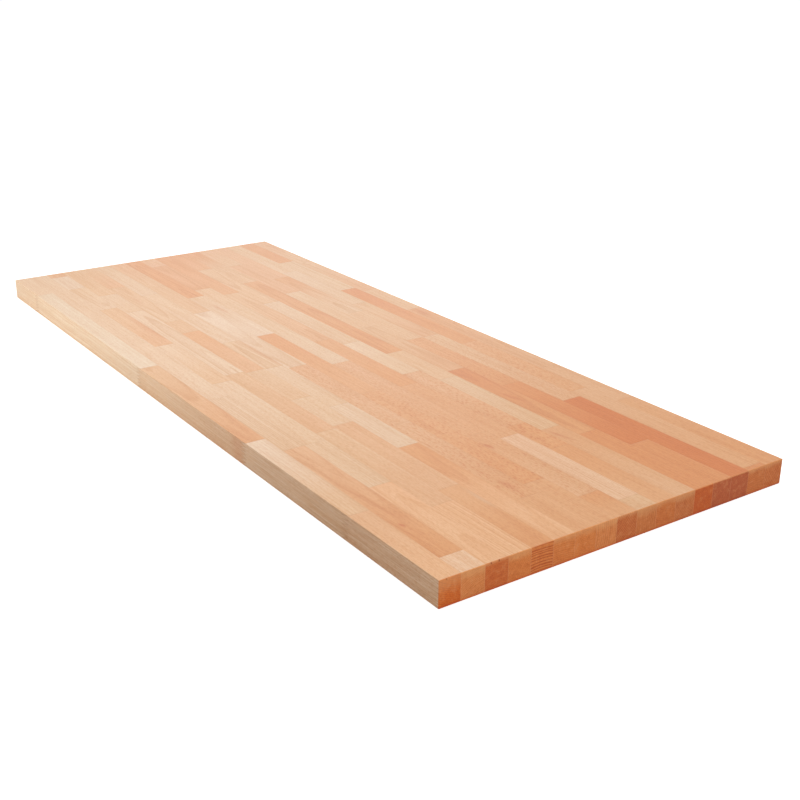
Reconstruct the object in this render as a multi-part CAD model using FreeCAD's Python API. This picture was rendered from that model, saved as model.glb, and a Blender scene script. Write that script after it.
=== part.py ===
"""Solid beech workbench top, edge-glued from rows of finger-jointed staves.

The top lies flat with its underside on z = 0 and the origin under its middle.
X runs along the staves, Y across the rows and Z up through the thickness.
Row 1 is the narrow, trimmed row along the -Y edge.
"""
import FreeCAD, Part

import math
import os

# Finished size of the top, in millimetres
TOP_LENGTH = 1500.0
TOP_WIDTH = 600.0
TOP_THICKNESS = 38.0

# Every full row is one stave wide, and the first row takes what is left of the width
STAVE_WIDTH = 35.5

# Finger joint between two staves of a row: zigzag through the thickness, cut straight across
FINGER_LENGTH = 15.0
FINGER_PITCH = 6.3
GLUE_LINE = 0.1

# Rounding of the outer edges by a few strokes of sandpaper
ARRIS_RADIUS = 1.0

# Shortest stave that the saw leaves at either end of the top
SHORTEST_END_STAVE = 8.0

# Lengths of the staves in each row from the -X end. One more stave runs out to the +X end.
STAVE_LENGTHS = [
    [140, 515, 377, 275],
    [235, 300, 315, 235, 372],
    [33, 102, 170, 260, 225, 295, 168],
    [215, 135, 415, 292, 287],
    [175, 270, 78, 250, 150, 125, 262],
    [260, 355, 160, 205, 188],
    [210, 217, 365, 303, 295],
    [327, 288, 345, 400],
    [70, 213, 175, 359, 373, 238],
    [345, 355, 270, 253, 242],
    [150, 295, 295, 185, 270, 98],
    [185, 107, 533, 155, 253],
    [157, 250, 275, 273, 320],
    [298, 292, 195, 272, 288],
    [270, 275, 242, 376],
    [195, 255, 406, 284, 350],
    [220, 260, 155, 395, 180],
]


def row_edges():
    """Y positions of the glue lines between rows, with both outer edges of the top."""
    row_count = max(1, round(TOP_WIDTH / STAVE_WIDTH))
    back_edge = TOP_WIDTH / 2
    inner_edges = [back_edge - STAVE_WIDTH * full_rows for full_rows in range(row_count - 1, -1, -1)]
    return [-TOP_WIDTH / 2] + inner_edges


def joint_places(lengths):
    """X positions where the joints of one row meet the upper face."""
    places = []
    place = -TOP_LENGTH / 2
    for length in lengths:
        place += length
        clear_of_start = place - FINGER_LENGTH > -TOP_LENGTH / 2 + SHORTEST_END_STAVE
        clear_of_end = place < TOP_LENGTH / 2 - SHORTEST_END_STAVE
        if clear_of_start and clear_of_end:
            places.append(place)
    return places


def finger_line(place):
    """Points of one zigzag from the underside to the upper face, with the tips towards -X."""
    finger_count = max(1, round(TOP_THICKNESS / FINGER_PITCH))
    half_pitch = TOP_THICKNESS / finger_count / 2
    points = []
    for step in range(2 * finger_count + 1):
        reach = FINGER_LENGTH if step % 2 else 0.0
        points.append((place - reach, step * half_pitch))
    return points


def glue_gap():
    """Gap along X that leaves the glue line's thickness between two slanting finger flanks."""
    finger_count = max(1, round(TOP_THICKNESS / FINGER_PITCH))
    half_pitch = TOP_THICKNESS / finger_count / 2
    flank_angle = math.atan2(half_pitch, FINGER_LENGTH)
    return GLUE_LINE / math.sin(flank_angle)


def stave(left_line, right_line, y_start, y_end):
    """One stave: its outline seen from the long edge, run straight across the row."""
    outline = left_line + right_line[::-1]
    corners = [FreeCAD.Vector(x, y_start, z) for x, z in outline]
    wire = Part.makePolygon(corners + corners[:1])
    return Part.Face(wire).extrude(FreeCAD.Vector(0, y_end - y_start, 0))


def finished_envelope():
    """The sanded block that the glued panel is worked down to, with its edges rounded."""
    corner = FreeCAD.Vector(-TOP_LENGTH / 2, -TOP_WIDTH / 2, 0)
    block = Part.makeBox(TOP_LENGTH, TOP_WIDTH, TOP_THICKNESS, corner)
    return block.makeFillet(ARRIS_RADIUS, block.Edges)


def stave_row(row_index, y_start, y_end, envelope):
    """All the staves of one row, those on the outside of the top worked to the envelope."""
    lengths = STAVE_LENGTHS[row_index % len(STAVE_LENGTHS)]
    joints = joint_places(lengths)
    half_gap = glue_gap() / 2
    left_end = [(-TOP_LENGTH / 2, 0.0), (-TOP_LENGTH / 2, TOP_THICKNESS)]
    right_end = [(TOP_LENGTH / 2, 0.0), (TOP_LENGTH / 2, TOP_THICKNESS)]
    left_lines = [left_end] + [finger_line(place + half_gap) for place in joints]
    right_lines = [finger_line(place - half_gap) for place in joints] + [right_end]
    on_long_edge = y_start <= -TOP_WIDTH / 2 or y_end >= TOP_WIDTH / 2
    staves = []
    for number, (left_line, right_line) in enumerate(zip(left_lines, right_lines)):
        piece = stave(left_line, right_line, y_start, y_end)
        at_row_end = number in (0, len(joints))
        if on_long_edge or at_row_end:
            piece = piece.common(envelope).Solids[0]
        staves.append(piece)
    return Part.makeCompound(staves)


os.makedirs("parts", exist_ok=True)
envelope = finished_envelope()
edges = row_edges()
for row_index, (y_start, y_end) in enumerate(zip(edges, edges[1:])):
    row = stave_row(row_index, y_start, y_end, envelope)
    row.exportStep(f"parts/stave_row_{row_index + 1:02d}.step")
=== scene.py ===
"""Solid beech workbench top, glued up from rows of finger-jointed staves, in plain studio light."""
import math
import random

import bpy
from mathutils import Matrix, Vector


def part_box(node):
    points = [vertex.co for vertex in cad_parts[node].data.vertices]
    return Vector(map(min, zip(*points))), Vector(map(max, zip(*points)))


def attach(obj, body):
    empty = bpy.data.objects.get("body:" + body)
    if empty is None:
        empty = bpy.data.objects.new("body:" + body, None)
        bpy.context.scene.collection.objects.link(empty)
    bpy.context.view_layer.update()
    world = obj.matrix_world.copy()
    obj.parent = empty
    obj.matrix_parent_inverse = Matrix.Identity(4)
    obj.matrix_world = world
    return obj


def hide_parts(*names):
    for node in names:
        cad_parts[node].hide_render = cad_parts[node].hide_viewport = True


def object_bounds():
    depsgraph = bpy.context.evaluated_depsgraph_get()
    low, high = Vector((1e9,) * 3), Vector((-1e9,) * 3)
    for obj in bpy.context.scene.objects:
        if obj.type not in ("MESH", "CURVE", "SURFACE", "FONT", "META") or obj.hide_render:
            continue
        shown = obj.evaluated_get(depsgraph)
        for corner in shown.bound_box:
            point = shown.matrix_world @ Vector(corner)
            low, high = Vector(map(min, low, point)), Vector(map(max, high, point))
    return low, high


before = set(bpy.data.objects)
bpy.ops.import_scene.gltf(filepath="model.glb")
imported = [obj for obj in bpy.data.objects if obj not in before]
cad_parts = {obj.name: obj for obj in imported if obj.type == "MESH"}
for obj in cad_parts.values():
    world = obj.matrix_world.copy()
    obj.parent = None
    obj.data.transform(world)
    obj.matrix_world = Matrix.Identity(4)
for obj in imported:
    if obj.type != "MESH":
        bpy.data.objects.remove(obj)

cad_low, cad_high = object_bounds()
scene = bpy.context.scene

# Camera.
# It stands off the near corner of the narrow row and looks down along the top, so that the long
# edge and the end grain both show. The lens is a plain one of about 50 mm.
EYE_FROM_NEAR_CORNER = Vector((0.9423, -0.7165, 0.6919))
HEADING = math.radians(33.96)
DOWNWARD = math.radians(21.685)
LENS = 53.45
SENSOR = 36.0
FRAMING_SHIFT = 0.0256
NEAREST_SEEN = 0.01
FARTHEST_SEEN = 100.0

near_corner = Vector((cad_high.x, cad_low.y, cad_high.z))
looking = Vector((
    -math.cos(HEADING) * math.cos(DOWNWARD),
    math.sin(HEADING) * math.cos(DOWNWARD),
    -math.sin(DOWNWARD),
))
camera = bpy.data.objects.new("camera", bpy.data.cameras.new("camera"))
camera.data.lens = LENS
camera.data.sensor_width = SENSOR
camera.data.shift_x = FRAMING_SHIFT
camera.data.clip_start = NEAREST_SEEN
camera.data.clip_end = FARTHEST_SEEN
camera.location = near_corner + EYE_FROM_NEAR_CORNER
camera.rotation_mode = "QUATERNION"
camera.rotation_quaternion = looking.to_track_quat("-Z", "Y")
scene.collection.objects.link(camera)
scene.camera = camera
scene.view_settings.view_transform = "Standard"


# Floor.
# A wide sheet of white board that the top lies on. The camera sees it lit up to white, and only
# the top's own shadow darkens it.
FLOOR_REACH = 12.0
FLOOR_CORNERS = ((-1, -1), (1, -1), (1, 1), (-1, 1))
FLOOR_WHITE = 0.70
FLOOR_GLOW = 0.68


def find_socket(sockets, name):
    """A socket by its number, its identifier or its name."""
    if isinstance(name, int):
        return sockets[name]
    for socket in sockets:
        if socket.identifier == name:
            return socket
    return sockets[name]


class Wire:
    """A node's output. Arithmetic on it adds Math nodes to the net that it belongs to."""

    def __init__(self, net, output):
        self.net = net
        self.output = output

    def __add__(self, other):
        return self.net.maths("ADD", self, other)

    def __radd__(self, other):
        return self.net.maths("ADD", other, self)

    def __sub__(self, other):
        return self.net.maths("SUBTRACT", self, other)

    def __rsub__(self, other):
        return self.net.maths("SUBTRACT", other, self)

    def __mul__(self, other):
        return self.net.maths("MULTIPLY", self, other)

    def __rmul__(self, other):
        return self.net.maths("MULTIPLY", other, self)

    def __truediv__(self, other):
        return self.net.maths("DIVIDE", self, other)

    def __rtruediv__(self, other):
        return self.net.maths("DIVIDE", other, self)

    def __lt__(self, other):
        return self.net.maths("LESS_THAN", self, other)

    def __gt__(self, other):
        return self.net.maths("GREATER_THAN", self, other)

    def __abs__(self):
        return self.net.maths("ABSOLUTE", self)


class Net:
    """The nodes of one tree, wired up by expressions on its wires."""

    def __init__(self, tree):
        self.tree = tree
        tree.nodes.clear()

    def node(self, kind, settings=None, sockets=None):
        """Adds a node, makes its settings, then fills its sockets with values or wires.

        The captures are the kinds and names of what a Capture Attribute node takes in.
        """
        made = self.tree.nodes.new(kind)
        for name, value in (settings or {}).items():
            if name == "captures":
                for item in value:
                    made.capture_items.new(*item)
            else:
                setattr(made, name, value)
        for name, value in (sockets or {}).items():
            socket = find_socket(made.inputs, name)
            for one in value if isinstance(value, list) else [value]:
                if isinstance(one, Wire):
                    self.tree.links.new(one.output, socket)
                else:
                    socket.default_value = one
        return made

    def wire(self, kind, settings=None, sockets=None, out=0):
        """The chosen output of a new node."""
        made = self.node(kind, settings, sockets)
        return Wire(self, find_socket(made.outputs, out))

    def maths(self, operation, *values):
        return self.wire("ShaderNodeMath", {"operation": operation}, dict(enumerate(values)))

    def vector(self, operation, *values):
        return self.wire("ShaderNodeVectorMath", {"operation": operation}, dict(enumerate(values)))

    def join(self, x, y, z):
        return self.wire("ShaderNodeCombineXYZ", None, {"X": x, "Y": y, "Z": z})

    def split(self, vector):
        made = self.node("ShaderNodeSeparateXYZ", None, {0: vector})
        return [Wire(self, output) for output in made.outputs]

    def ramp(self, value, low, high, bottom=0.0, top=1.0):
        """Rises smoothly from bottom to top as value goes from low to high."""
        return self.wire("ShaderNodeMapRange", {"interpolation_type": "SMOOTHSTEP"}, {
            "Value": value, "From Min": low, "From Max": high, "To Min": bottom, "To Max": top,
        })

    def colour(self, factor, under, over, how="MIX"):
        """Lays one colour over another by factor."""
        return self.wire("ShaderNodeMix", {"data_type": "RGBA", "blend_type": how}, {
            "Factor_Float": factor, "A_Color": under, "B_Color": over,
        }, "Result_Color")


floor_mesh = bpy.data.meshes.new("floor")
floor_mesh.from_pydata(
    [(x * FLOOR_REACH, y * FLOOR_REACH, cad_low.z) for x, y in FLOOR_CORNERS], [], [(0, 1, 2, 3)],
)
floor = bpy.data.objects.new("floor", floor_mesh)
scene.collection.objects.link(floor)
white_board = bpy.data.materials.new("white board")
white_board.use_nodes = True
net = Net(white_board.node_tree)
board_colour = (FLOOR_WHITE, FLOOR_WHITE, FLOOR_WHITE, 1.0)
matt = net.wire("ShaderNodeBsdfDiffuse", None, {"Color": board_colour})
seen_directly = net.wire("ShaderNodeLightPath", out="Is Camera Ray")
glow = net.wire("ShaderNodeEmission", None, {"Strength": seen_directly * FLOOR_GLOW})
lit_board = net.wire("ShaderNodeAddShader", None, {0: matt, 1: glow})
net.node("ShaderNodeOutputMaterial", None, {"Surface": lit_board})
floor_mesh.materials.append(white_board)


# Stave rows.
# Seventeen rows of planed beech staves. The staves of a row are finger-jointed end to end, the
# rows are glued edge to edge, and the whole panel is sanded flat with its outer edges eased.
ARRIS = 0.001
ARRIS_STEPS = 3
FINGER_LENGTH = 0.015
FINGER_PITCH = 0.0063
# The gap left between two staves of a row, and how near to each other two points are one place
GLUE_HAIRLINE = 0.00004
SAME_PLACE = 0.00001
# An edge is eased where it lies on more of the panel's outer planes than this
PLANES_OF_PLAIN_EDGE = 1.5

# Colour of sanded beech, from the palest sapwood to the reddest heartwood, on the 0 to 255 scale
TONES = {
    "cream": (230, 208, 182),
    "ivory": (231, 204, 177),
    "pale": (228, 196, 163),
    "blush": (234, 196, 161),
    "rose": (233, 192, 156),
    "straw": (226, 190, 152),
    "honey": (225, 184, 142),
    "gold": (233, 185, 140),
    "peach": (225, 177, 133),
    "amber": (224, 170, 121),
    "copper": (222, 161, 107),
    "rust": (219, 149, 91),
    "russet": (213, 129, 66),
}
# How a stave was cut from the tree: how far the heart was across and above the stave's middle, how
# far it drifts for each metre along, and how far apart the growth rings are, in metres; then how
# strongly the rings show along the stave, and how strongly its rays show
FIGURE_PARTS = ("across", "above", "drift", "apart", "rings", "rays")
FIGURES = {
    "plain": (0.022, -0.055, 0.008, 0.0026, 0.30, 0.3),
    "arched": (0.005, -0.050, 0.016, 0.0030, 0.75, 0.2),
    "lined": (0.060, -0.045, 0.006, 0.0029, 0.55, 0.2),
    "striped": (0.050, -0.045, 0.008, 0.0029, 0.90, 0.1),
    "flecked": (0.012, -0.060, 0.010, 0.0026, 0.30, 0.9),
    "ribbon": (0.120, -0.004, 0.004, 0.0034, 0.50, 0.3),
    "banded": (0.004, -0.110, 0.006, 0.0038, 0.35, 0.2),
}
# How far the heart's place varies between staves of one figure, and the sides that it may be on
ACROSS_SPREAD = (0.7, 1.3)
ABOVE_SPREAD = (0.8, 1.3)
EITHER_SIDE = (-1, 1)
# How far apart two staves may lie in the patterns, so that no two look alike
SEED_SPREAD = 70.0
# Each row's staves from the -X end: tone, or tone at its start and at its end, and figure
STAVES = [
    "pale plain, cream lined, honey-amber arched, ivory-honey lined, peach-gold plain",
    "pale plain, pale lined, pale plain, pale-straw striped, peach-copper arched, blush plain",
    "peach plain, ivory lined, straw-pale arched, honey-peach plain, pale-honey plain, "
    "pale-straw plain, straw lined, gold arched",
    "honey plain, pale-straw lined, pale arched, honey-peach lined, honey-peach plain, "
    "gold striped",
    "honey-peach plain, honey-straw arched, honey lined, amber-peach plain, straw-honey lined, "
    "straw plain, peach plain, amber-copper banded",
    "straw-pale lined, straw-pale plain, straw arched, pale-straw plain, pale lined, "
    "copper-gold arched",
    "peach-honey plain, honey lined, ivory-pale arched, peach flecked, peach-amber flecked, "
    "amber plain",
    "copper arched, straw-ivory lined, copper-amber plain, amber-copper flecked, amber ribbon",
    "peach plain, amber arched, honey-straw plain, straw-pale lined, peach-amber flecked, "
    "amber-peach flecked, copper-amber lined",
    "copper-amber plain, honey-peach arched, amber-copper plain, amber flecked, "
    "rose-blush striped, honey ribbon",
    "copper-amber plain, honey arched, pale-straw lined, pale-straw plain, peach-amber flecked, "
    "copper flecked, copper-amber plain",
    "copper-honey lined, honey plain, amber-copper arched, honey plain, straw-honey lined, "
    "amber-peach lined",
    "peach-honey plain, peach lined, straw-honey plain, honey-peach arched, rust-copper arched, "
    "rust plain",
    "peach plain, amber-straw arched, honey plain, amber-copper flecked, rust-russet plain, "
    "rust lined",
    "honey-straw plain, pale-straw lined, honey-peach arched, honey-peach flecked, russet lined",
    "copper plain, straw lined, rust-copper plain, amber flecked, peach-amber lined, rust plain",
    "peach-honey arched, honey-peach lined, honey plain, amber-peach arched, peach plain, "
    "amber-copper lined",
]
# Colour of the end grain, which drinks in more of the light
END_TONES = {
    "sand": (234, 152, 86),
    "tan": (230, 140, 69),
    "orange": (226, 118, 32),
    "ochre": (219, 129, 63),
    "clay": (217, 128, 65),
    "fawn": (217, 132, 69),
    "umber": (213, 127, 68),
    "rust": (218, 118, 51),
    "ember": (211, 105, 36),
    "brick": (198, 104, 56),
}
# Each row's end grain at the +X end: its colour, how far down from the upper face it is dry and
# pale, in metres, and how strongly its growth rings show
END_GRAINS = [
    ("orange", 0.015, 0.35), ("sand", 0.009, 0.35), ("rust", 0.003, 0.25), ("tan", 0.007, 0.25),
    ("tan", 0.001, 1.0), ("tan", 0.006, 0.35), ("tan", 0.007, 0.20), ("sand", 0.009, 0.50),
    ("clay", 0.004, 0.80), ("fawn", 0.010, 0.35), ("ochre", 0.006, 0.25), ("umber", 0.007, 0.30),
    ("ember", 0.001, 0.20), ("brick", 0.001, 0.20), ("brick", 0.001, 0.35), ("clay", 0.005, 0.30),
    ("clay", 0.006, 0.50),
]
# Small knots and coloured streaks by row, at most one to a stave: metres along from the -X end,
# share of the row's width from its -Y side, half length, half width, slope, and depth of colour,
# which is negative for a pale streak. Row 1's lies at its very side and reddens the long edge.
MARKS = {
    1: [(1.008, 0.0, 0.028, 0.0015, 0.0, 0.35)],
    2: [(1.365, 0.30, 0.011, 0.005, 0.15, 0.9)],
    3: [(0.450, 0.95, 0.120, 0.013, 0.0, 0.35)],
    5: [(0.285, 0.45, 0.050, 0.007, 0.0, 0.3), (1.365, 0.92, 0.055, 0.007, 0.0, -0.5)],
    6: [(0.700, 0.92, 0.120, 0.006, 0.0, 0.4)],
    7: [(1.350, 0.50, 0.035, 0.012, 0.0, 0.4)],
    8: [(0.425, 0.62, 0.050, 0.007, 0.02, 0.45)],
    9: [(1.235, 0.14, 0.018, 0.006, 0.15, 0.8)],
    12: [(1.265, 0.30, 0.040, 0.006, 0.22, 0.5)],
    13: [(1.105, 0.40, 0.032, 0.006, 0.18, 0.45)],
    17: [(0.665, 0.50, 0.040, 0.013, 0.0, 0.4)],
}
# What a stave without one has in its place, far off the panel and without depth
NO_MARK = (-9.0, 0.0, 0.01, 0.01, 0.0, 0.0)
# Nicks at the top of a row's end grain: places of two, as shares of the row's width, and depth
NICKS = {1: (0.34, 0.34, 0.4), 3: (0.25, 0.59, 0.75)}
NO_NICKS = (0.0, 0.0, 0.0)

# The share of X in a face's direction over which it comes to look like end grain, and the share of
# Y over which it comes to look like a long edge
END_FACING = (0.05, 0.3)
LONG_EDGE_FACING = (0.55, 0.8)

# Long edges: their colours at the far and the near end, part the planed sides' own greyer colour
# and part painted shade that darkens the edge towards the near end; how far these take the place of
# the stave's own, at what share of the way from the middle to the far end the change starts, and
# how much of the grain shows at the far end
EDGE_TONE_FAR_LIT = (220, 199, 171)
EDGE_TONE_NEAR_SHADED = (208, 179, 150)
LONG_EDGE_SHARE = 0.76
EDGE_TURN = 0.6
EDGE_GRAIN_FAR = 0.3

# The level that the noise swings about
NOISE_MIDDLE = 0.5
# Patterns in the wood: waves in a metre along, across and up, then the noise's detail and roughness
PATTERNS = {
    "wander": (6.0, 40.0, 40.0, 3.0, 0.5),
    "streak": (2.2, 120.0, 90.0, 3.0, 0.6),
    "cloud": (9.0, 35.0, 35.0, 2.0, 0.5),
    "fibre": (18.0, 620.0, 620.0, 3.0, 0.6),
    "pore": (160.0, 900.0, 900.0, 2.0, 0.5),
    "edge line": (10.0, 90.0, 360.0, 2.0, 0.6),
    "blotch": (20.0, 120.0, 150.0, 3.0, 0.65),
    "speckle": (40.0, 420.0, 420.0, 3.0, 0.7),
}
# What each pattern does to the colour: the noise levels between which it comes in, its tint, and
# its strength on the broad faces, on the long edges and on the end grain
SHADES = {
    "streak": ((0.45, 0.75), (0.93, 0.84, 0.74), (0.55, 0.95, 0.55)),
    "cloud": ((0.35, 0.70), (0.93, 0.84, 0.74), (0.25, 0.25, 0.25)),
    "fibre": ((0.40, 0.65), (0.93, 0.84, 0.74), (0.52, 0.85, 0.45)),
    "pore": ((0.48, 0.66), (0.80, 0.64, 0.50), (0.42, 0.55, 0.60)),
    "edge line": ((0.42, 0.62), (0.84, 0.74, 0.64), (0.0, 0.7, 0.0)),
    "blotch": ((0.50, 0.68), (0.84, 0.68, 0.54), (0.0, 0.0, 0.50)),
    "speckle": ((0.42, 0.66), (0.84, 0.68, 0.54), (0.0, 0.0, 0.45)),
}

# Growth rings: how much they wander and vary, where in a ring the dark latewood starts and ends,
# how differently two rings are coloured, and how much more they show on a long edge. On the end
# grain the latewood is wider and redder.
SIDEWAYS_DRIFT = 0.5
RING_WANDER = 0.004
RING_VARIETY = 1.6
RING_VARIETY_WAVES = 160.0
LATEWOOD_STARTS = (0.45, 0.88)
LATEWOOD_ENDS = (0.90, 1.0)
LATEWOOD_TINT = (0.88, 0.74, 0.60)
LATEWOOD_DEPTH = 0.7
RING_TO_RING = 0.45
EDGE_RINGS = 0.4
END_LATEWOOD_STARTS = (0.30, 0.62)
END_RING_TINT = (0.76, 0.51, 0.36)

# Rays: size of a fleck outwards from the heart, round it and along the grain, and how far from the
# heart the staves mostly lay
RAY_DEPTH = 0.012
RAY_WIDTH = 0.0017
RAY_LENGTH = 0.0065
HEART_TO_STAVE = 0.06
FLECK_LEVELS = (0.50, 0.66)
FLECK_TINT = (0.90, 0.68, 0.52)
FLECK_DEPTH = 0.85

# End grain: the pale dry band under the upper face, pale dry patches, and painted shade that
# darkens and reddens the lower edge where the panel meets the floor, on the long edge too
DRY_END = (236, 178, 118)
DRY_BAND = (0.1, 1.7)
DRY_BAND_WOBBLE = 1.4
DRY_BAND_DEPTH = 0.38
DRY_PATCH = (0.32, 0.48)
DRY_PATCH_DEPTH = 0.16
CONTACT_SHADE_HEIGHT = 0.0055
CONTACT_SHADE_WOBBLE = 0.006
CONTACT_SHADE_TINT = (0.88, 0.52, 0.24)
CONTACT_SHADE_END = 0.75
CONTACT_SHADE_LONG_EDGE = 0.35

# Marks, nicks and glue lines, which are dark on the broad faces and long edges, pale on end grain
MARK_FADE = (0.15, 1.0)
MARK_WOBBLE = 0.8
MARK_TINT = (0.84, 0.54, 0.38)
PALE_STREAK = (219, 178, 140)
NICK_HALF_WIDTH = (0.0006, 0.0014)
NICK_HEIGHT = (0.0018, 0.0032)
NICK_TINT = (0.42, 0.22, 0.12)
GLUE_TINT = (0.66, 0.50, 0.38)
GLUE_SHOWING = 0.0005
GLUE_DEPTH = 0.15
GLUE_DEPTH_EDGE = 0.85
PALE_GLUE = (246, 206, 160)
PALE_GLUE_DEPTH = 0.22

# Surface: the sander leaves a silky finish, rougher on the end grain, with the fibres just raised
ROUGHNESS = 0.38
FIBRE_ROUGHNESS = 0.08
END_ROUGHNESS = 0.20
WOOD_IOR = 1.45
RELIEF_STRENGTH = 0.25
RELIEF_DEPTH = 0.0004
LATEWOOD_RELIEF = -0.4
FIBRE_RELIEF = 0.7
FLECK_RELIEF = -0.4
GLUE_RELIEF = -1.0


def linear(colour):
    """A 0 to 255 display colour as the linear one that a shader takes, by the sRGB curve."""
    shares = [part / 255 for part in colour]
    return [s / 12.92 if s <= 0.04045 else ((s + 0.055) / 1.055) ** 2.4 for s in shares]


def opaque(colour):
    """A 0 to 255 display colour as the four numbers of a colour socket."""
    return (*linear(colour), 1.0)


def beech_material():
    """Sanded beech: growth rings, rays, long streaks, glue lines, darker end grain and painted
    shade.
    """
    material = bpy.data.materials.new("sanded beech")
    material.use_nodes = True
    net = Net(material.node_tree)

    def of_stave(name, out="Fac"):
        return net.wire("ShaderNodeAttribute", {"attribute_name": name}, None, out)

    def noise(vector, detail, roughness=0.5):
        return net.wire("ShaderNodeTexNoise", {"noise_dimensions": "3D"}, {
            "Vector": vector, "Scale": 1.0, "Detail": detail, "Roughness": roughness,
        }, "Fac")

    def falling(value, levels):
        """One below the levels and nothing above them."""
        return net.ramp(value, *levels, 1.0, 0.0)

    def darkened(colour, amount, tint):
        return net.colour(amount, colour, (*tint, 1.0), "MULTIPLY")

    coordinates = net.node("ShaderNodeTexCoord")
    x, y, z = net.split(Wire(net, coordinates.outputs["Object"]))
    facing = net.split(Wire(net, coordinates.outputs["Normal"]))
    on_end = net.ramp(abs(facing[0]), *END_FACING)
    on_long_edge = net.ramp(abs(facing[1]), *LONG_EDGE_FACING)
    start, length, shift = of_stave("start"), of_stave("length"), of_stave("seed")
    along = x - start
    pattern = {}
    for name, (waves_along, waves_across, waves_up, detail, roughness) in PATTERNS.items():
        place = net.join(x * waves_along + shift, y * waves_across, z * waves_up)
        pattern[name] = noise(place, detail, roughness)

    # Growth rings round the heart, which runs a little askew to the stave
    ring_strength, ray_strength = of_stave("rings"), of_stave("rays")
    heart_y, heart_z, drift = net.split(of_stave("heart", "Vector"))
    away_y = y - heart_y + drift * along * SIDEWAYS_DRIFT
    away_z = z - heart_z - drift * along
    radius = net.maths("SQRT", away_y * away_y + away_z * away_z)
    radius = radius + (pattern["wander"] - NOISE_MIDDLE) * RING_WANDER
    uneven = noise(net.join(radius * RING_VARIETY_WAVES, shift, 0.0), detail=1.0) - NOISE_MIDDLE
    rings = radius / of_stave("apart") + uneven * RING_VARIETY
    phase = net.maths("FRACT", rings)
    latewood = net.ramp(phase, *LATEWOOD_STARTS) * falling(phase, LATEWOOD_ENDS)
    end_latewood = net.ramp(phase, *END_LATEWOOD_STARTS) * falling(phase, LATEWOOD_ENDS)
    ring_tone = net.wire("ShaderNodeTexWhiteNoise", {"noise_dimensions": "1D"}, {
        "W": net.maths("FLOOR", rings) + shift,
    }, "Value")

    # Rays: thin sheets that run outwards from the heart, short along the grain
    turn = net.maths("ARCTAN2", away_y, away_z)
    rays = noise(net.join(
        radius / RAY_DEPTH + shift, turn * (HEART_TO_STAVE / RAY_WIDTH), x / RAY_LENGTH,
    ), detail=1.0)
    fleck = net.ramp(rays, *FLECK_LEVELS)

    # The stave's own tone, greyer on a long edge, where painted shade also darkens it towards the
    # near end, and its end grain
    tone = net.colour(
        net.ramp(along / length, 0.0, 1.0),
        of_stave("start_tone", "Color"), of_stave("end_tone", "Color"),
    )
    # Painted shade: the long edge's colour goes darker from the far end to the near end
    near = net.ramp(x, cad_low.x * EDGE_TURN, cad_high.x)
    edge_tone_and_shade = net.colour(near, opaque(EDGE_TONE_FAR_LIT), opaque(EDGE_TONE_NEAR_SHADED))
    tone = net.colour(on_long_edge * LONG_EDGE_SHARE, tone, edge_tone_and_shade)
    tone = net.colour(on_end, tone, of_stave("end_grain", "Color"))

    # Streaks, clouds, fibres and pores
    edge_grain = on_long_edge * (EDGE_GRAIN_FAR + near * (1.0 - EDGE_GRAIN_FAR))
    for name, (levels, tint, (broad, edge, end)) in SHADES.items():
        strength = broad + edge_grain * (edge - broad) + on_end * (end - broad)
        tone = darkened(tone, net.ramp(pattern[name], *levels) * strength, tint)

    # Rings and flecks
    off_end = 1.0 - on_end
    tone = darkened(tone, ring_tone * ring_strength * off_end * RING_TO_RING, LATEWOOD_TINT)
    ring_depth = (ring_strength + edge_grain * EDGE_RINGS) * LATEWOOD_DEPTH
    tone = darkened(tone, latewood * ring_depth * off_end, LATEWOOD_TINT)
    tone = darkened(tone, end_latewood * of_stave("end_rings") * on_end, END_RING_TINT)
    tone = darkened(tone, fleck * ray_strength * off_end * FLECK_DEPTH, FLECK_TINT)

    # Dry parts of the end grain, then painted shade that darkens the lower edge of the end grain
    # and of the long edge near the floor
    wobble = (pattern["cloud"] - NOISE_MIDDLE) * DRY_BAND_WOBBLE
    under_top = (cad_high.z - z) / of_stave("dry_depth") + wobble
    dried = falling(under_top, DRY_BAND) * DRY_BAND_DEPTH
    dried = dried + falling(pattern["blotch"], DRY_PATCH) * DRY_PATCH_DEPTH
    tone = net.colour(dried * on_end, tone, opaque(DRY_END))
    # Painted shade: darker and more orange near the floor
    height = z - cad_low.z + (pattern["blotch"] - NOISE_MIDDLE) * CONTACT_SHADE_WOBBLE
    contact_shading = on_end * CONTACT_SHADE_END + on_long_edge * CONTACT_SHADE_LONG_EDGE
    tone = darkened(tone, falling(height, (0.0, CONTACT_SHADE_HEIGHT)) * contact_shading, CONTACT_SHADE_TINT)

    # Small knots and coloured streaks
    mark_x, mark_y, mark_slope = net.split(of_stave("mark", "Vector"))
    mark_length, mark_width, mark_depth = net.split(of_stave("mark_size", "Vector"))
    off_along = (x - mark_x) / mark_length
    off_across = (y - mark_y - (x - mark_x) * mark_slope) / mark_width
    off_mark = net.maths("SQRT", off_along * off_along + off_across * off_across)
    off_mark = off_mark + (pattern["cloud"] - NOISE_MIDDLE) * MARK_WOBBLE
    marked = falling(off_mark, MARK_FADE)
    darker = net.maths("MAXIMUM", mark_depth, 0.0)
    paler = net.maths("MAXIMUM", 0.0 - mark_depth, 0.0)
    tone = darkened(tone, marked * darker, MARK_TINT)
    tone = net.colour(marked * paler, tone, opaque(PALE_STREAK))

    # Nicks at the top of the end grain
    nick_one, nick_two, nick_depth = net.split(of_stave("nicks", "Vector"))
    off_nick = net.maths("MINIMUM", abs(y - nick_one), abs(y - nick_two))
    nicked = falling(off_nick, NICK_HALF_WIDTH) * falling(cad_high.z - z, NICK_HEIGHT) * on_end
    tone = darkened(tone, nicked * nick_depth, NICK_TINT)

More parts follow.
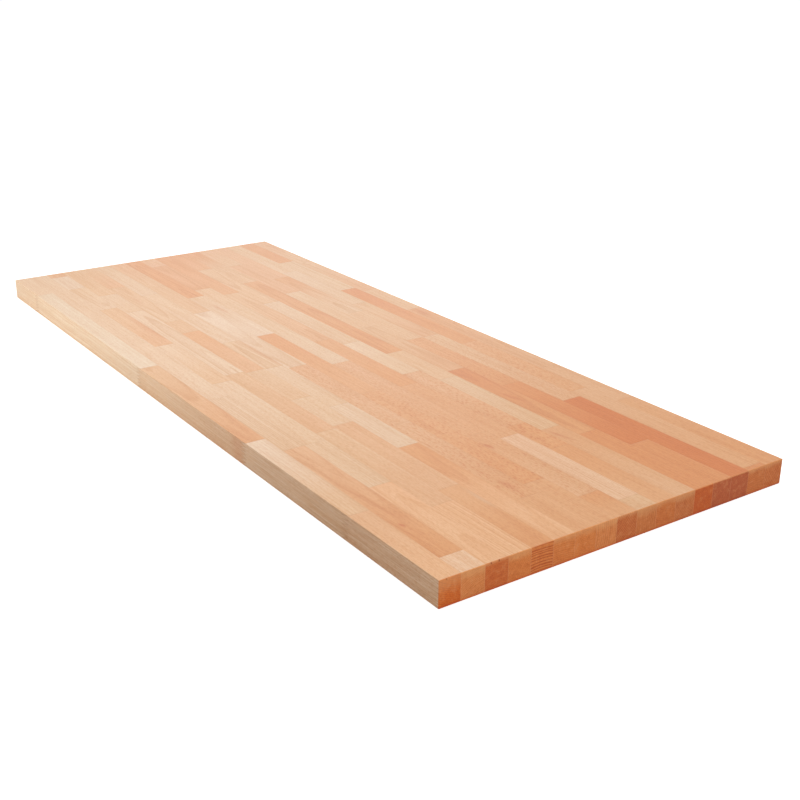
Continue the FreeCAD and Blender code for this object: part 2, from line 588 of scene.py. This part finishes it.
    # Glue lines along the row and down the zigzag of each finger joint
    start_fingers, end_fingers = of_stave("start_fingers"), of_stave("end_fingers")
    reach = net.maths("PINGPONG", z / of_stave("half_pitch"), 1.0) * FINGER_LENGTH
    flank = math.sin(math.atan2(FINGER_PITCH / 2, FINGER_LENGTH))
    past_start = (along + reach * start_fingers) * flank + (1.0 - start_fingers)
    before_end = (length - along - reach * end_fingers) * flank + (1.0 - end_fingers)
    side = net.maths("MINIMUM", y - of_stave("front"), of_stave("back") - y) + on_long_edge
    nearest = net.maths("MINIMUM", side, net.maths("MINIMUM", past_start, before_end))
    glue = falling(nearest, (0.0, GLUE_SHOWING))
    glue_depth = GLUE_DEPTH + on_long_edge * GLUE_DEPTH_EDGE
    tone = darkened(tone, glue * off_end * glue_depth, GLUE_TINT)
    tone = net.colour(glue * on_end * PALE_GLUE_DEPTH, tone, opaque(PALE_GLUE))

    # Fine relief and the finish
    raised = latewood * LATEWOOD_RELIEF + pattern["fibre"] * FIBRE_RELIEF
    raised = raised + fleck * FLECK_RELIEF + glue * GLUE_RELIEF
    relief = net.wire("ShaderNodeBump", None, {
        "Strength": RELIEF_STRENGTH, "Distance": RELIEF_DEPTH, "Height": raised,
    }, "Normal")
    surface = net.wire("ShaderNodeBsdfPrincipled", None, {
        "Base Color": tone,
        "Roughness": ROUGHNESS + pattern["fibre"] * FIBRE_ROUGHNESS + on_end * END_ROUGHNESS,
        "Normal": relief,
        "IOR": WOOD_IOR,
    })
    net.node("ShaderNodeOutputMaterial", None, {"Surface": surface})
    return material


def stave_row_tree():
    """Turns one point for each stave into the row's staves, with zigzag ends at their joints."""
    tree = bpy.data.node_groups.new("finger-jointed stave row", "GeometryNodeTree")
    tree.interface.new_socket("Staves", in_out="INPUT", socket_type="NodeSocketGeometry")
    for name in ("Front", "Width", "Bottom", "Half Pitch", "Finger Length"):
        tree.interface.new_socket(name, in_out="INPUT", socket_type="NodeSocketFloat")
    tree.interface.new_socket("Levels", in_out="INPUT", socket_type="NodeSocketInt")
    for name in ("Outer Low", "Outer High"):
        tree.interface.new_socket(name, in_out="INPUT", socket_type="NodeSocketVector")
    tree.interface.new_socket("Wood", in_out="INPUT", socket_type="NodeSocketMaterial")
    tree.interface.new_socket("Row", in_out="OUTPUT", socket_type="NodeSocketGeometry")
    net = Net(tree)
    given = net.node("NodeGroupInput")

    def size(name):
        return Wire(net, given.outputs[name])

    def of_stave(name):
        number = {"data_type": "FLOAT"}
        return net.wire("GeometryNodeInputNamedAttribute", number, {"Name": name}, "Attribute")

    # One strip of faces, a metre square about the origin, two points wide and as many high as the
    # zigzag has points
    strip = net.wire("GeometryNodeMeshGrid", None, {
        "Size X": 1.0, "Size Y": 1.0, "Vertices X": 2, "Vertices Y": size("Levels") + 1,
    }, "Mesh")
    marked = net.node("GeometryNodeCaptureAttribute", {"captures": [("VECTOR", "Place")]}, {
        "Geometry": strip, "Place": net.wire("GeometryNodeInputPosition"),
    })
    laid = net.wire("GeometryNodeInstanceOnPoints", None, {
        "Points": size("Staves"), "Instance": Wire(net, marked.outputs["Geometry"]),
    })
    strips = net.wire("GeometryNodeRealizeInstances", None, {"Geometry": laid})

    # Each stave's copy stood upright in its place, with its ends folded into fingers. The side is 0
    # at the stave's start and 1 at its end, and the level counts the zigzag's points upwards.
    across, up, _ = net.split(Wire(net, marked.outputs["Place"]))
    side = across + 0.5
    level = net.maths("ROUND", (up + 0.5) * size("Levels"))
    jointed = of_stave("start_fingers") * (1.0 - side) + of_stave("end_fingers") * side
    reach = size("Finger Length") * net.maths("MODULO", level, 2.0) * jointed
    shaped = net.wire("GeometryNodeSetPosition", None, {
        "Geometry": strips,
        "Position": net.join(
            of_stave("start") + side * of_stave("length") - reach,
            size("Front"),
            size("Bottom") + level * size("Half Pitch"),
        ),
    })

    # The strip pushed across the row, and closed with its own front
    turned = net.wire("GeometryNodeFlipFaces", None, {"Mesh": shaped})
    pushed = net.wire("GeometryNodeExtrudeMesh", {"mode": "FACES"}, {
        "Mesh": turned,
        "Offset": net.join(0.0, size("Width"), 0.0),
        "Offset Scale": 1.0,
        "Individual": False,
    }, "Mesh")
    closed = net.wire("GeometryNodeMergeByDistance", None, {
        "Geometry": net.wire("GeometryNodeJoinGeometry", None, {"Geometry": [pushed, shaped]}),
        "Distance": SAME_PLACE,
    })

    # The sander eases the edges that lie on two outer planes of the panel
    ends = net.node("GeometryNodeInputMeshEdgeVertices")
    planes = 0.0
    for corner in (size("Outer Low"), size("Outer High")):
        gaps = [
            net.vector("ABSOLUTE", net.vector("SUBTRACT", Wire(net, ends.outputs[name]), corner))
            for name in ("Position 1", "Position 2")
        ]
        for gap in net.split(net.vector("MAXIMUM", *gaps)):
            planes = planes + (gap < SAME_PLACE)
    eased = net.wire("GeometryNodeStoreNamedAttribute", {"data_type": "FLOAT", "domain": "EDGE"}, {
        "Geometry": closed,
        "Name": "bevel_weight_edge",
        "Value": planes > PLANES_OF_PLAIN_EDGE,
    })
    finished = net.wire("GeometryNodeSetMaterial", None, {
        "Geometry": net.wire("GeometryNodeRealizeInstances", None, {"Geometry": eased}),
        "Material": size("Wood"),
    })
    net.node("NodeGroupOutput", None, {"Row": finished})
    return tree


def stave_spans(node):
    """Start and end along X of each stave of a row, where it meets the upper face."""
    low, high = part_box(node)
    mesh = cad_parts[node].data
    upper = []
    for face in mesh.polygons:
        corners = [mesh.vertices[number].co for number in face.vertices]
        if min(corner.z for corner in corners) > high.z - SAME_PLACE:
            upper.append((min(c.x for c in corners), max(c.x for c in corners)))
    spans = []
    for start, end in sorted(upper):
        if spans and start < spans[-1][1] + SAME_PLACE:
            spans[-1][1] = max(end, spans[-1][1])
        else:
            spans.append([start, end])
    spans[0][0] = low.x
    spans[-1][1] = high.x
    return spans


def stave_facts(number, place, spans, box, draws):
    """What the tree and the wood have to know of one stave, by the name of the attribute."""
    low, high = box
    width = high.y - low.y

    # A tone that stands alone serves both ends of the stave
    tones, figure = STAVES[number - 1].split(", ")[place].split()
    start_tone, last_tone = (tones.split("-") * 2)[:2]
    grain = dict(zip(FIGURE_PARTS, FIGURES[figure]))

    # Neighbours meet in the middle of the glue line between their solids
    start, end = spans[place]
    first, last = place == 0, place == len(spans) - 1
    if not first:
        start = (start + spans[place - 1][1] + GLUE_HAIRLINE) / 2
    if not last:
        end = (end + spans[place + 1][0] - GLUE_HAIRLINE) / 2

    # The order of these draws decides how each stave looks
    across = grain["across"] * draws.uniform(*ACROSS_SPREAD) * draws.choice(EITHER_SIDE)
    above = grain["above"] * draws.uniform(*ABOVE_SPREAD) * draws.choice(EITHER_SIDE)
    seed = draws.random() * SEED_SPREAD
    drift = grain["drift"] * draws.choice(EITHER_SIDE)

    # At the hidden -X end row 1 has the last row's end grain, row 2 the last but one's, and so on
    end_tone, dry_depth, end_rings = END_GRAINS[number - 1 if last else -number]
    marks = [mark for mark in MARKS.get(number, []) if start < cad_low.x + mark[0] < end]
    along, share, half_length, half_width, slope, mark_depth = (marks + [NO_MARK])[0]
    first_nick, second_nick, nick_depth = NICKS.get(number, NO_NICKS)
    return {
        "start": start,
        "length": end - start,
        "start_fingers": 0.0 if first else 1.0,
        "end_fingers": 0.0 if last else 1.0,
        "seed": seed,
        "apart": grain["apart"],
        "rings": grain["rings"],
        "end_rings": end_rings,
        "rays": grain["rays"],
        "dry_depth": dry_depth,
        "heart": ((low.y + high.y) / 2 + across, (low.z + high.z) / 2 + above, drift),
        "start_tone": linear(TONES[start_tone]),
        "end_tone": linear(TONES[last_tone]),
        "end_grain": linear(END_TONES[end_tone]),
        "mark": (cad_low.x + along, low.y + share * width, slope),
        "mark_size": (half_length, half_width, mark_depth),
        "nicks": (low.y + first_nick * width, low.y + second_nick * width, nick_depth),
    }


def stave_row(number, node, tree, wood):
    """One row of staves that stands for its CAD node."""
    low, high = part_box(node)
    spans = stave_spans(node)
    draws = random.Random(number - 1)
    thickness = high.z - low.z
    levels = 2 * round(thickness / FINGER_PITCH)
    half_pitch = thickness / levels
    shared = {"front": low.y, "back": high.y, "half_pitch": half_pitch}
    staves = [
        {**shared, **stave_facts(number, place, spans, (low, high), draws)}
        for place in range(len(spans))
    ]

    # One point for each stave, which carries the stave's numbers and vectors
    layout = bpy.data.meshes.new(f"layout_{number:02d}")
    layout.from_pydata([(facts["start"], low.y, low.z) for facts in staves], [], [])
    for name, fact in staves[0].items():
        values = [facts[name] for facts in staves]
        if isinstance(fact, float):
            layout.attributes.new(name, "FLOAT", "POINT").data.foreach_set("value", values)
        else:
            flat = [part for vector in values for part in vector]
            layout.attributes.new(name, "FLOAT_VECTOR", "POINT").data.foreach_set("vector", flat)

    # The tree turns the points into staves, and a bevel rounds the edges that the tree has marked
    piece = bpy.data.objects.new(f"beech_staves_{number:02d}", layout)
    scene.collection.objects.link(piece)
    fingers = piece.modifiers.new("fingers", "NODES")
    fingers.node_group = tree
    sizes = {
        "Front": low.y,
        "Width": high.y - low.y,
        "Bottom": low.z,
        "Half Pitch": half_pitch,
        "Finger Length": FINGER_LENGTH,
        "Levels": levels,
        "Outer Low": cad_low,
        "Outer High": cad_high,
        "Wood": wood,
    }
    for item in tree.interface.items_tree:
        if item.name in sizes:
            fingers[item.identifier] = sizes[item.name]
    easing = piece.modifiers.new("eased edges", "BEVEL")
    easing.limit_method = "WEIGHT"
    easing.width = ARRIS
    easing.segments = ARRIS_STEPS
    easing.use_clamp_overlap = False
    evaluated = piece.evaluated_get(bpy.context.evaluated_depsgraph_get())
    shape = bpy.data.meshes.new_from_object(evaluated)
    piece.modifiers.clear()
    piece.data = shape
    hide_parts(node)
    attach(piece, "root")


row_tree = stave_row_tree()
beech = beech_material()
for number, node in enumerate(sorted(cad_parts), start=1):
    stave_row(number, node, row_tree, beech)


# Lamps.
# A pale sky all round, one large soft lamp overhead and a low softbox off the far end of the
# narrow row's long edge, which darkens that edge towards the near corner, with shade painted on
# the edge adding to it. A dim lamp behind the far end puts a sheen on the top, and a weak one fills
# in the near end.
SKY_LIGHT = 0.50
SKY_WHITE = (1.0, 1.0, 1.0, 1.0)
WARM_WHITE = (1.0, 0.98, 0.975)
# Where each lamp stands and the point it looks at, its side in metres, and its power in watts
LAMPS = {
    "overhead": ((0.3, 0.3, 3.0), (0.1, 0.0, 0.0), 3.0, 48.5),
    "softbox": ((-0.52, -1.25, 0.32), (-0.5, -0.3, 0.0), 0.6, 7.6),
    "backlight": ((-3.0, 1.7, 0.9), (-0.4, 0.0, 0.0), 2.0, 11.0),
    "fill": ((2.6, 0.0, 0.7), (0.75, 0.0, 0.0), 1.2, 6.0),
}


def soft_lamp(name, place, aim, size, watts):
    """A square soft lamp that looks at the point aim."""
    lamp = bpy.data.objects.new(name, bpy.data.lights.new(name, "AREA"))
    lamp.data.size = size
    lamp.data.energy = watts
    lamp.data.color = WARM_WHITE
    lamp.visible_camera = False
    lamp.location = place
    lamp.rotation_mode = "QUATERNION"
    lamp.rotation_quaternion = (Vector(aim) - Vector(place)).to_track_quat("-Z", "Y")
    scene.collection.objects.link(lamp)


for name, settings in LAMPS.items():
    soft_lamp(name, *settings)
sky = bpy.data.worlds.new("pale studio")
sky.use_nodes = True
scene.world = sky
net = Net(sky.node_tree)
# The camera and every reflection see the sky as plain white
seen_by_camera = net.wire("ShaderNodeLightPath", out="Is Camera Ray")
seen_in_gloss = net.wire("ShaderNodeLightPath", out="Is Glossy Ray")
seen = net.maths("MAXIMUM", seen_by_camera, seen_in_gloss)
shining = net.wire("ShaderNodeBackground", None, {
    "Color": SKY_WHITE, "Strength": SKY_LIGHT + seen * (1.0 - SKY_LIGHT),
})
net.node("ShaderNodeOutputWorld", None, {"Surface": shining})
